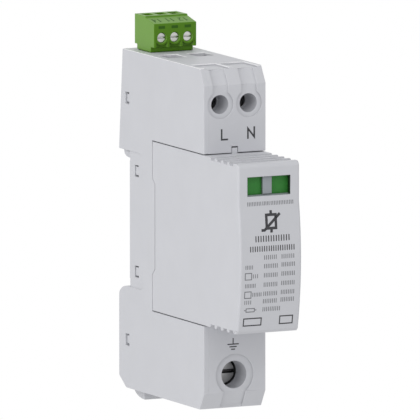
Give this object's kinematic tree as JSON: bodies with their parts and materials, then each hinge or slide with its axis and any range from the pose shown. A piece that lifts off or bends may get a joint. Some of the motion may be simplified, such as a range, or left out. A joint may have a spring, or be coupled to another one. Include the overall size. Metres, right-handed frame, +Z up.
{
  "type": "din rail surge arrester",
  "caption": "Narrow rail-mounted surge arrester with screw terminals, a pull-out protection module with indicator flags and a pluggable signalling connector.",
  "frame": {"origin": "centre line of the rail, on the plane where the rail seats, mid-width", "axes": "+X across the width to the right seen from the front, +Y towards the rail and the wall, +Z up"},
  "size_m": [0.018, 0.0724, 0.1024],
  "materials": {
    "light_grey_plastic": "fine satin moulded",
    "grey_plastic": "satin moulded",
    "steel": "zinc plated",
    "brass": "plain",
    "circuit_board": "solder resist",
    "green_plastic": "satin moulded",
    "dark_plastic": "satin moulded",
    "red_plastic": "satin moulded",
    "blue_coating": "dipped epoxy",
    "flag_green": "satin moulded",
    "white_plastic": "satin moulded"
  },
  "bodies": {
    "base": {"base_housing": "light_grey_plastic", "base_cover": "light_grey_plastic", "latch_spring": "steel", "contact_bar_l": "brass", "contact_bar_n": "brass", "contact_bar_pe": "brass", "signal_board": "circuit_board", "signal_header": "green_plastic", "header_pins": "brass", "microswitch": "dark_plastic"},
    "latch": {"rail_latch": "grey_plastic"},
    "plunger": {"switch_plunger": "red_plastic"},
    "module": {"module_shell": "light_grey_plastic", "module_chassis": "grey_plastic", "indicator_frame": "red_plastic", "varistor_left": "blue_coating", "varistor_right": "blue_coating", "trip_spring_left": "steel", "trip_spring_right": "steel", "blade_l": "brass", "blade_n": "brass", "blade_pe": "brass"},
    "rod": {"signal_rod": "white_plastic"},
    "plug": {"plug_body": "green_plastic", "plug_contact_1": "brass", "plug_contact_2": "brass", "plug_contact_3": "brass"},
    "screw_l": {"terminal_screw_l": "steel"},
    "cage_l": {"clamp_cage_l": "steel"},
    "screw_n": {"terminal_screw_n": "steel"},
    "cage_n": {"clamp_cage_n": "steel"},
    "screw_pe": {"terminal_screw_pe": "steel"},
    "cage_pe": {"clamp_cage_pe": "steel"},
    "plug_screw_1": {"plug_screw_1": "steel"},
    "plug_cage_1": {"plug_cage_1": "steel"},
    "plug_screw_2": {"plug_screw_2": "steel"},
    "plug_cage_2": {"plug_cage_2": "steel"},
    "plug_screw_3": {"plug_screw_3": "steel"},
    "plug_cage_3": {"plug_cage_3": "steel"},
    "arm_left": {"trip_arm_left": "brass"},
    "flag_left": {"flag_left": "flag_green"},
    "arm_right": {"trip_arm_right": "brass"},
    "flag_right": {"flag_right": "flag_green"}
  },
  "joints": [
    {"name": "latch_pull", "type": "slide", "parent": "base", "child": "latch", "axis": [0, 0, -1], "range_m": [0, 0.003], "stiffness_N_per_m": 400, "springref_m": -0.003, "deforming": ["latch_spring"]},
    {"name": "module_pull", "type": "slide", "parent": "base", "child": "module", "axis": [0, -1, 0], "range_m": [0, 0.045]},
    {"name": "plug_pull", "type": "slide", "parent": "base", "child": "plug", "axis": [0, 0, 1], "range_m": [0, 0.012]},
    {"name": "rod_shift", "type": "slide", "parent": "module", "child": "rod", "axis": [0, -1, 0], "range_m": [0, 0.0012]},
    {"name": "plunger_travel", "type": "slide", "parent": "base", "child": "plunger", "axis": [0, -1, 0], "range_m": [0, 0.0012]},
    {"name": "screw_l_turn", "type": "hinge", "parent": "base", "child": "screw_l", "pos_m": [-0.00415, -0.035, 0.03555], "axis": [0, 1, 0], "range_deg": [0, 1801]},
    {"name": "cage_l_lift", "type": "slide", "parent": "base", "child": "cage_l", "axis": [0, -1, 0], "range_m": [0, 0.004]},
    {"name": "screw_n_turn", "type": "hinge", "parent": "base", "child": "screw_n", "pos_m": [0.00415, -0.035, 0.03555], "axis": [0, 1, 0], "range_deg": [0, 1801]},
    {"name": "cage_n_lift", "type": "slide", "parent": "base", "child": "cage_n", "axis": [0, -1, 0], "range_m": [0, 0.004]},
    {"name": "screw_pe_turn", "type": "hinge", "parent": "base", "child": "screw_pe", "pos_m": [0, -0.035, -0.03605], "axis": [0, 1, 0], "range_deg": [0, 1801]},
    {"name": "cage_pe_lift", "type": "slide", "parent": "base", "child": "cage_pe", "axis": [0, -1, 0], "range_m": [0, 0.004]},
    {"name": "plug_screw_1_turn", "type": "hinge", "parent": "plug", "child": "plug_screw_1", "pos_m": [-0.00381, -0.008, 0.04905], "axis": [0, 1, 0], "range_deg": [0, 721]},
    {"name": "plug_cage_1_lift", "type": "slide", "parent": "plug", "child": "plug_cage_1", "axis": [0, -1, 0], "range_m": [0, 0.001]},
    {"name": "plug_screw_2_turn", "type": "hinge", "parent": "plug", "child": "plug_screw_2", "pos_m": [0, -0.008, 0.04905], "axis": [0, 1, 0], "range_deg": [0, 721]},
    {"name": "plug_cage_2_lift", "type": "slide", "parent": "plug", "child": "plug_cage_2", "axis": [0, -1, 0], "range_m": [0, 0.001]},
    {"name": "plug_screw_3_turn", "type": "hinge", "parent": "plug", "child": "plug_screw_3", "pos_m": [0.00381, -0.008, 0.04905], "axis": [0, 1, 0], "range_deg": [0, 721]},
    {"name": "plug_cage_3_lift", "type": "slide", "parent": "plug", "child": "plug_cage_3", "axis": [0, -1, 0], "range_m": [0, 0.001]},
    {"name": "trip_left", "type": "hinge", "parent": "module", "child": "arm_left", "pos_m": [-0.00375, -0.04982, 0.01358], "axis": [1, 0, 0], "range_deg": [0, 30.1]},
    {"name": "flag_left_drop", "type": "slide", "parent": "module", "child": "flag_left", "axis": [0, 0, -1], "range_m": [0, 0.00554], "deforming": ["trip_spring_left"]},
    {"name": "trip_right", "type": "hinge", "parent": "module", "child": "arm_right", "pos_m": [0.00375, -0.04982, 0.01358], "axis": [1, 0, 0], "range_deg": [0, 30.1]},
    {"name": "flag_right_drop", "type": "slide", "parent": "module", "child": "flag_right", "axis": [0, 0, -1], "range_m": [0, 0.00554], "deforming": ["trip_spring_right"]}
  ],
  "couplings": [
    {"joint": "plunger_travel", "follows": "rod_shift", "ratio": 1},
    {"joint": "screw_l_turn", "follows": "cage_l_lift", "rad_per_m": 7854},
    {"joint": "screw_n_turn", "follows": "cage_n_lift", "rad_per_m": 7854},
    {"joint": "screw_pe_turn", "follows": "cage_pe_lift", "rad_per_m": 7854},
    {"joint": "plug_screw_1_turn", "follows": "plug_cage_1_lift", "rad_per_m": 12566},
    {"joint": "plug_screw_2_turn", "follows": "plug_cage_2_lift", "rad_per_m": 12566},
    {"joint": "plug_screw_3_turn", "follows": "plug_cage_3_lift", "rad_per_m": 12566},
    {"joint": "trip_left", "follows": "flag_left_drop", "rad_per_m": 94.534},
    {"joint": "trip_right", "follows": "flag_right_drop", "rad_per_m": 94.534}
  ]
}
